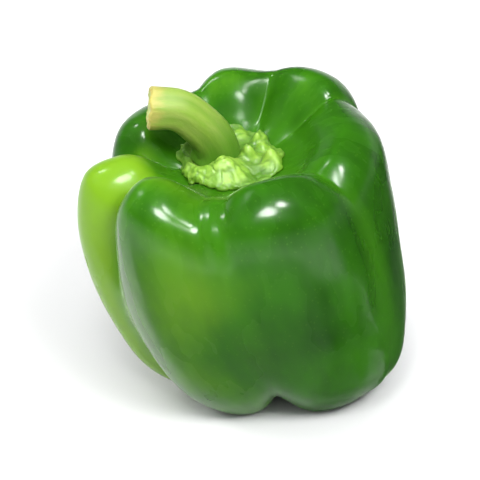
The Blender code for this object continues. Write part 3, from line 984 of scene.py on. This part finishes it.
def calyx_edge(turn):
    """The calyx's radius: blunt sepal tips on a crinkled margin, wider to the right."""
    tips = SEPAL_TIP * abs(math.cos(SEPAL_TIPS * turn / 2 + TIP_PHASE)) ** TIP_BLUNTNESS
    crinkle = sum(size * math.sin(count * turn + phase) for size, count, phase in CRINKLES)
    return CALYX_RADIUS + tips + crinkle + CALYX_WIDER * math.cos(turn)


def swelled_by(turn, reach):
    """How far the swellings lift the calyx at an angle and a distance from the stem."""
    clear = min(max((reach - CLEAR_OF_STEM) / SWELLING_RUN_IN, 0.0), 1.0)
    x, y = reach * math.cos(turn), reach * math.sin(turn)
    lift = 0.0
    for swelling in SWELLINGS:
        at = math.radians(swelling.angle)
        away = math.hypot(x - swelling.reach * math.cos(at), y - swelling.reach * math.sin(at))
        lift += clear * swelling.rise * math.exp(-((away / swelling.width) ** 2))
    return lift


def calyx_thickness(turn, reach):
    """The calyx's thickness at an angle and a distance from its middle."""
    slope = (reach - BOSS_RADIUS) / (calyx_edge(turn) - BOSS_RADIUS)
    slope = min(max(slope, 0.0), 1.0)
    plain = MARGIN_THICKNESS + (BOSS_HEIGHT - MARGIN_THICKNESS) * (1 - slope) ** BOSS_STEEPNESS
    veins = VEIN_HEIGHT * math.sin(VEINS * turn + VEIN_PHASE) * math.sin(math.pi * slope)
    return plain + swelled_by(turn, reach) + veins


print("calyx about", round(2000 * CALYX_RADIUS), "mm across")

# %% Build the calyx
FIRST_TOP_SHARE = 0.03
LAST_TOP_SHARE = 0.985
CLOSER_AT_EDGE = 1.15
LIP = ((0.997, 0.75), (1.0, 0.5), (0.997, 0.25), (0.985, 0.0))  # share, part of the thickness
UNDER_SHARES = (0.93, 0.80, 0.60, 0.35)
CALYX_GRAIN_LENGTH = 0.6
calyx_turns = [2 * math.pi * k / CALYX_COLUMNS for k in range(CALYX_COLUMNS)]


def calyx_ring(share, height_of):
    """A ring of the calyx at a share of its radius, raised above the hollow."""
    ring = []
    for turn in calyx_turns:
        reach = share * calyx_edge(turn)
        x = CALYX_PLACE[0] + reach * math.cos(turn)
        y = CALYX_PLACE[1] + reach * math.sin(turn)
        ring.append((x, y, hollow_height(x, y) + height_of(turn, reach)))
    return ring


top_shares = 1 - (1 - np.linspace(FIRST_TOP_SHARE, 1.0, CALYX_RINGS)) ** CLOSER_AT_EDGE
top_shares = top_shares[:-1] * LAST_TOP_SHARE
calyx_rings = [calyx_ring(share, calyx_thickness) for share in top_shares]
for share, part in LIP:
    thick = part * MARGIN_THICKNESS + CALYX_GAP * (1 - part)
    calyx_rings.append(calyx_ring(share, lambda turn, reach: thick))
for share in UNDER_SHARES:
    calyx_rings.append(calyx_ring(share, lambda turn, reach: CALYX_GAP))
top = (*CALYX_PLACE, hollow_height(*CALYX_PLACE) + BOSS_HEIGHT)
under = (*CALYX_PLACE, hollow_height(*CALYX_PLACE) + CALYX_GAP)
calyx = ring_mesh(
    "pepper_calyx",
    stand(calyx_rings) + CENTRING,
    stand(top) + CENTRING,
    stand(under) + CENTRING,
)
out_shares = np.array([*top_shares, *[1.0] * len(LIP), *[-1.0] * len(UNDER_SHARES)])
out = np.repeat(out_shares[:, None], CALYX_COLUMNS, axis=1)
swelled = [
    [swelled_by(turn, share * calyx_edge(turn)) / BULKY_SWELLING for turn in calyx_turns]
    for share in np.abs(out_shares)
]
spokes = grain_round(calyx_turns, out * CALYX_GRAIN_LENGTH)
store(calyx, "out", out, 0.0, -1.0)
store(calyx, "swelled", swelled, 0.0, 0.0)
store(calyx, "grain", spokes, (0, 0, 0), (0, 0, 0), "FLOAT_VECTOR")
print("calyx", [round(side * 1000, 1) for side in calyx.dimensions], "mm")

# %% Crinkle the calyx
LUMP_GAIN = 2.0
CREASE_WIDTH = 0.12
ON_TOP = (0.30, 0.62)

crinkling, given, made = group(
    "crinkled flesh",
    "GeometryNodeTree",
    {
        "Geometry": (SHAPE, None),
        "Lump height": (NUMBER, 0.0004),
        "Lump scale": (NUMBER, 380.0),
        "Crease height": (NUMBER, 0.0002),
        "Crease scale": (NUMBER, 900.0),
        "Seed": (NUMBER, 0.0),
        "Flesh": (FINISH, None),
    },
    {"Geometry": (SHAPE, None)},
)
spot = add(crinkling, "GeometryNodeInputPosition").outputs[0]
on_top = fade(crinkling, read_value(crinkling, "out"), *ON_TOP)
lumps = centred_noise(crinkling, spot, given["Seed"], given["Lump scale"])
rise = product(crinkling, lumps, LUMP_GAIN, given["Lump height"])
waves = centred_noise(crinkling, spot, given["Seed"], given["Crease scale"])
creased = fade(crinkling, number(crinkling, "ABSOLUTE", waves), CREASE_WIDTH, 0.0)
fall = number(crinkling, "MULTIPLY", creased, given["Crease height"])
rise = number(crinkling, "MULTIPLY", number(crinkling, "SUBTRACT", rise, fall), on_top)
moved = push_out(crinkling, given["Geometry"], rise)
finish_tree(crinkling, keep_value(crinkling, moved, "crease", creased), given["Flesh"], made)
print(len(crinkling.nodes), "nodes in the crinkling tree")

# %% Make the flesh of the calyx
CALYX_GREEN = (0.100, 0.240, 0.014, 1.0)
CALYX_PALE_AND_PAINTED_LIGHT = (0.240, 0.410, 0.048, 1.0)
CALYX_PAINTED_SHADE = (0.040, 0.130, 0.006, 1.0)
CALYX_EDGE = (0.120, 0.260, 0.020, 1.0)

calyx_flesh, tree, shader = new_finish("calyx flesh")
place = add(tree, "ShaderNodeTexCoord").outputs["Object"]
mottle = mottled(tree, place, patch_scale=260.0, streak_scale=9.0, streak_share=0.4)
green = mix(tree, mottle, CALYX_GREEN, CALYX_PALE_AND_PAINTED_LIGHT)
swelled_here = attribute(tree, "swelled")
# Painted shade and painted light: where the calyx is barely swelled and in its creases it is
# painted darker, as shade, and the tops of the swellings are painted brighter, as light. The same
# pale green also serves the random mottling above.
green = mix(tree, fade(tree, swelled_here, 0.30, 0.05, end=0.75), green, CALYX_PAINTED_SHADE)
green = mix(tree, fade(tree, swelled_here, 0.35, 0.90, end=0.8), green, CALYX_PALE_AND_PAINTED_LIGHT)
green = mix(tree, number(tree, "MULTIPLY", attribute(tree, "crease"), 0.55), green, CALYX_PAINTED_SHADE)
green = mix(tree, fade(tree, attribute(tree, "out"), 0.90, 1.0, end=0.5), green, CALYX_EDGE)
fine = noise(tree, place, scale=1800.0, detail=3.0)
feed(
    tree,
    shader,
    {
        "Base Color": green,
        "Roughness": fade(tree, mottle, 0.0, 1.0, start=0.38, end=0.55),
        "Subsurface Weight": 0.15,
        "Subsurface Radius": (0.7, 1.0, 0.2),
        "Subsurface Scale": 0.002,
        "Normal": bumped(tree, fine, strength=0.25, distance=0.0002),
    },
)
sizes = {"Lump height": 0.00030, "Lump scale": 330.0, "Crease height": 0.00030}
settle(calyx, crinkling, sizes | {"Crease scale": 260.0, "Seed": 2.0, "Flesh": calyx_flesh})
print("calyx", [round(side * 1000, 1) for side in calyx.dimensions], "mm")

# %% [markdown]
# The stem
# The stem is a tough ribbed stalk, cut across with a knife. It follows a path, so Geometry Nodes
# make it: a grid is rolled round the path, its rows become rings, and its radius changes from
# row to row. Near the foot the rings are turned level, because the stalk spreads into the calyx
# there. The last rows fold over the cut: a small rim, a little frayed, then the face, which sinks
# where the pith has dried.

# %% Lay the path of the stem
STEM_PATH = (
    (0.0000, 0.0000, 0.0024),
    (0.0002, 0.0000, 0.0050),
    (-0.0010, -0.0003, 0.0086),
    (-0.0047, -0.0008, 0.0133),
    (-0.0096, -0.0012, 0.0171),
    (-0.0166, -0.0015, 0.0179),
)
PATH_STEPS = 60

stem_seat = stand((*CALYX_PLACE, SEAT_HEIGHT)) + CENTRING
path_points = stem_seat + spline(STEM_PATH, np.linspace(0, 1, PATH_STEPS + 1))
path_mesh = bpy.data.meshes.new("pepper_stem")
path_edges = [(k, k + 1) for k in range(PATH_STEPS)]
path_mesh.from_pydata([tuple(point) for point in path_points], path_edges, [])
stem = place_in_scene("pepper_stem", path_mesh)
path_length = np.linalg.norm(np.diff(path_points, axis=0), axis=1).sum()
print("stem path", round(path_length * 1000, 1), "mm")

# %% Roll the stem round its path
STEM_ROWS = 130
STEM_COLUMNS = 145
CUT_SHARE = 0.86
FOOT_SHARE = 0.03

stalk, given, made = group(
    "ribbed stalk",
    "GeometryNodeTree",
    {
        "Path": (SHAPE, None),
        "Radius": (NUMBER, 0.0056),
        "Foot radius": (NUMBER, 0.0064),
        "End flare": (NUMBER, 0.0003),
        "Ribs": (NUMBER, 6.0),
        "Rib height": (NUMBER, 0.00015),
        "Strand height": (NUMBER, 0.00006),
        "Upright share": (NUMBER, 0.30),
        "Dish depth": (NUMBER, 0.0006),
        "Rim width": (NUMBER, 0.0006),
        "Fray": (NUMBER, 0.0010),
        "Seed": (NUMBER, 0.0),
        "Bark": (FINISH, None),
    },
    {"Geometry": (SHAPE, None)},
)
sheet = add(
    stalk,
    "GeometryNodeMeshGrid",
    {"Size X": 1.0, "Size Y": 1.0, "Vertices X": STEM_COLUMNS, "Vertices Y": STEM_ROWS},
).outputs["Mesh"]
flat_place = own_place(stalk)
turn = number(stalk, "MULTIPLY", number(stalk, "ADD", flat_place["X"], 0.5), 2 * math.pi)
row = number(stalk, "ADD", flat_place["Y"], 0.5)
path_share = fade(stalk, row, FOOT_SHARE, CUT_SHARE, smooth=False)
cut = fade(stalk, row, CUT_SHARE, 1.0, smooth=False)
foot = fade(stalk, row, 0.0, FOOT_SHARE, smooth=False)
curve = add(stalk, "GeometryNodeMeshToCurve", {"Mesh": given["Path"]})
on_path = add(
    stalk,
    "GeometryNodeSampleCurve",
    {"Curves": curve.outputs[0], "Factor": path_share},
    mode="FACTOR",
    use_all_curves=True,
)
upright = number(stalk, "DIVIDE", path_share, given["Upright share"])
upright = fade(stalk, upright, 1.0, 0.0, smooth=False)
ahead = mix(stalk, upright, on_path.outputs["Tangent"], (0.0, 0.0, 1.0), "VECTOR")
ahead = vector(stalk, "NORMALIZE", ahead)
side = vector(stalk, "NORMALIZE", vector(stalk, "CROSS_PRODUCT", ahead, (0.0, 1.0, 0.0)))
over = vector(stalk, "CROSS_PRODUCT", ahead, side)
print(len(stalk.nodes), "nodes to roll the sheet")

# %% Shape the rings of the stem
FOOT_POWER = 5.0
END_POWER = 6.0
STRAND_GAIN = 2.0
RIM_END = 0.25
RIM_SLOPE = 0.9
STALK_GRAIN_LENGTH = 0.8
FRAY_STARTS = 0.86

flare = number(stalk, "POWER", number(stalk, "SUBTRACT", 1.0, path_share), FOOT_POWER)
spread = number(stalk, "SUBTRACT", given["Foot radius"], given["Radius"])
radius = number(stalk, "MULTIPLY_ADD", flare, spread, given["Radius"])
end_share = number(stalk, "POWER", path_share, END_POWER)
radius = number(stalk, "MULTIPLY_ADD", end_share, given["End flare"], radius)
rib_wave = number(stalk, "COSINE", number(stalk, "MULTIPLY", turn, given["Ribs"]))
before_cut = fade(stalk, cut, RIM_END, 0.0)
rib = product(stalk, rib_wave, given["Rib height"], before_cut)
round_place = add(
    stalk,
    "ShaderNodeCombineXYZ",
    {
        "X": number(stalk, "COSINE", turn),
        "Y": number(stalk, "SINE", turn),
        "Z": number(stalk, "MULTIPLY", path_share, STALK_GRAIN_LENGTH),
    },
).outputs[0]
strands = centred_noise(stalk, round_place, given["Seed"], 6.0, detail=3.0, roughness=0.6)
strand = product(stalk, strands, given["Strand height"], STRAND_GAIN, before_cut)
radius = number(stalk, "ADD", number(stalk, "ADD", radius, rib), strand)
rim_share = fade(stalk, cut, 0.0, RIM_END)
face_share = fade(stalk, cut, RIM_END, 1.0, smooth=False)
off_face = number(stalk, "SUBTRACT", 1.0, face_share)
rim = number(stalk, "MULTIPLY", rim_share, given["Rim width"])
radius = product(stalk, number(stalk, "SUBTRACT", radius, rim), off_face, foot)
sunk = number(stalk, "MULTIPLY", fade(stalk, face_share, 0.0, 0.5), given["Dish depth"])
out_of_path = number(stalk, "SUBTRACT", number(stalk, "MULTIPLY", rim, RIM_SLOPE), sunk)
ragged = centred_noise(stalk, round_place, given["Seed"], 2.6, detail=3.0, roughness=0.6)
near_cut = fade(stalk, path_share, FRAY_STARTS, 1.0)
fray = product(stalk, ragged, given["Fray"], near_cut, off_face)
out_of_path = number(stalk, "ADD", out_of_path, fray)
ring_place = vector(
    stalk,
    "ADD",
    vector(stalk, "SCALE", side, number(stalk, "COSINE", turn)),
    vector(stalk, "SCALE", over, number(stalk, "SINE", turn)),
)
outwards = vector(stalk, "SCALE", ring_place, radius)
new_place = vector(stalk, "ADD", on_path.outputs["Position"], outwards)
new_place = vector(stalk, "ADD", new_place, vector(stalk, "SCALE", ahead, out_of_path))
print(len(stalk.nodes), "nodes with the shape of the rings")

# %% Close the stem and store its attributes
MERGE_WITHIN = 0.000005

shape = sheet
for name, value, kind in (
    ("along", path_share, "FLOAT"),
    ("cut", cut, "FLOAT"),
    ("rib", fade(stalk, rib_wave, -1.0, 1.0, smooth=False), "FLOAT"),
    ("grain", round_place, "FLOAT_VECTOR"),
):
    shape = keep_value(stalk, shape, name, value, kind)
for kind, inputs in (
    ("GeometryNodeSetPosition", {"Position": new_place}),
    ("GeometryNodeMergeByDistance", {"Distance": MERGE_WITHIN}),
    ("GeometryNodeSetShadeSmooth", {}),
):
    shape = add(stalk, kind, {"Geometry": shape, **inputs}).outputs[0]
finish_tree(stalk, shape, given["Bark"], made)
print(len(stalk.nodes), "nodes in the stem's tree")

# %% Make the bark of the stem
STEM_GREEN = (0.158, 0.275, 0.026, 1.0)
STEM_PALE = (0.215, 0.292, 0.056, 1.0)
STEM_FOOT_AND_PAINTED_SHADE = (0.040, 0.155, 0.004, 1.0)
CUT_TAN = (0.370, 0.320, 0.080, 1.0)
PITH_PALE = (0.480, 0.560, 0.250, 1.0)
PITH_RING = (0.330, 0.420, 0.120, 1.0)

bark, tree, shader = new_finish("stem bark")
place = add(tree, "ShaderNodeTexCoord").outputs["Object"]
along_here = attribute(tree, "along")
mottle = mottled(tree, place, patch_scale=120.0, streak_scale=3.5, streak_share=0.6)
green = mix(tree, mottle, STEM_GREEN, STEM_PALE)
# Painted shade and a greener foot: the stalk turns greener and darker towards its foot, and the
# darkness there is painted shade where it goes into the calyx. The next line paints shade in the
# valleys between the ribs.
green = mix(tree, fade(tree, along_here, 0.60, 0.05, end=0.85), green, STEM_FOOT_AND_PAINTED_SHADE)
green = mix(tree, fade(tree, attribute(tree, "rib"), 0.45, 0.0, end=0.2), green, STEM_FOOT_AND_PAINTED_SHADE)
drying = number(tree, "MULTIPLY_ADD", mottle, 0.12, along_here)
green = mix(tree, fade(tree, drying, 0.92, 1.08, end=0.85), green, CUT_TAN)
cut_here = attribute(tree, "cut")
face = mix(tree, fade(tree, cut_here, 0.55, 0.95), PITH_RING, PITH_PALE)
face = mix(tree, fade(tree, cut_here, 0.45, 0.25), face, CUT_TAN)
green = mix(tree, fade(tree, cut_here, 0.02, 0.2), green, face)
fibres = noise(tree, attribute(tree, "grain", "Vector"), scale=34.0, detail=3.0)
feed(
    tree,
    shader,
    {
        "Base Color": green,
        "Roughness": 0.48,
        "Specular IOR Level": 0.30,
        "Subsurface Weight": 0.10,
        "Subsurface Radius": (0.7, 1.0, 0.2),
        "Subsurface Scale": 0.002,
        "Normal": bumped(tree, fibres, strength=0.3, distance=0.0003),
    },
)
settle(stem, stalk, {"Seed": 7.0, "Bark": bark})
print("stem", [round(side * 1000, 1) for side in stem.dimensions], "mm")

# %% [markdown]
# The pieces and their bodies
# Each finished piece is attached to the body it moves with, and the measured solid that it stands
# for is hidden.

# %% Attach each piece and hide its measured solid
for piece, node, finish_slot in (
    (fruit, "fruit", "fruit_skin"),
    (calyx, "calyx", "calyx"),
    (stem, "stem", "stem"),
):
    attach(piece, "root")
    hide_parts(node)
